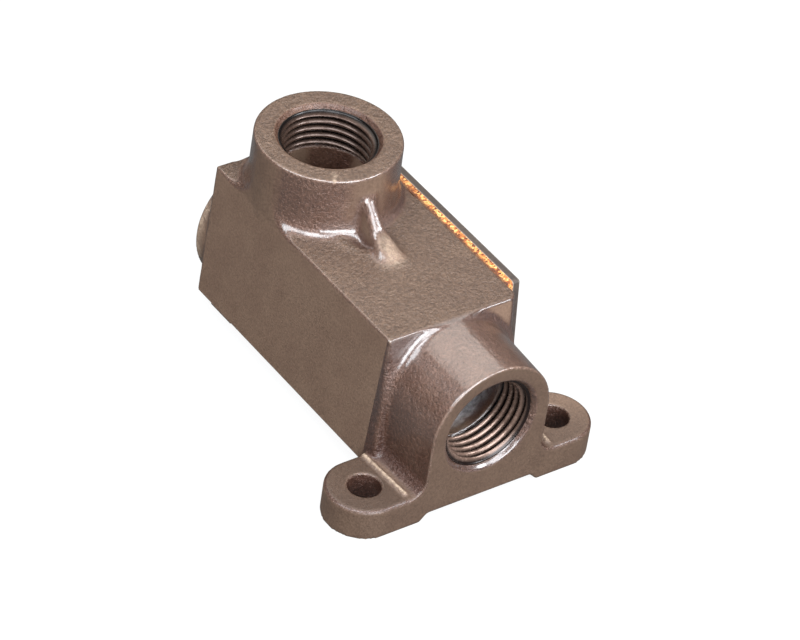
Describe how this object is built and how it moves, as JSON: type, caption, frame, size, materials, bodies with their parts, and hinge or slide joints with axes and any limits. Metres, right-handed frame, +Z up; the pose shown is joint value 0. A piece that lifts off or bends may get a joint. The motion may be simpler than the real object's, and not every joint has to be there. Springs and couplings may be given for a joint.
{
  "type": "tree mount junction box",
  "caption": "Small cast junction box with three threaded conduit hubs, a gasketed screwed side cover and two mounting ears.",
  "frame": {"origin": "midway between the two ear holes, on the plane that the pads stand on", "axes": "+Z up along the top hub, +Y from the eared front hub to the rear hub, +X out through the cover"},
  "size_m": [0.065, 0.0853, 0.0502],
  "materials": {
    "painted_casting": "satin bronze-brown enamel over a fine cast texture",
    "painted_cover": "satin dark brown paint on pressed sheet",
    "cork": "cork composition gasket, speckled",
    "screw_steel": "plated",
    "ground_steel": "green ground screw"
  },
  "bodies": {
    "root": {"cast_body": "painted_casting", "cover_gasket": "cork", "cover_plate": "painted_cover", "cover_screw_front_lower": "screw_steel", "cover_screw_front_upper": "screw_steel", "cover_screw_rear_lower": "screw_steel", "cover_screw_rear_upper": "screw_steel", "ground_screw": "ground_steel"}
  },
  "joints": []
}
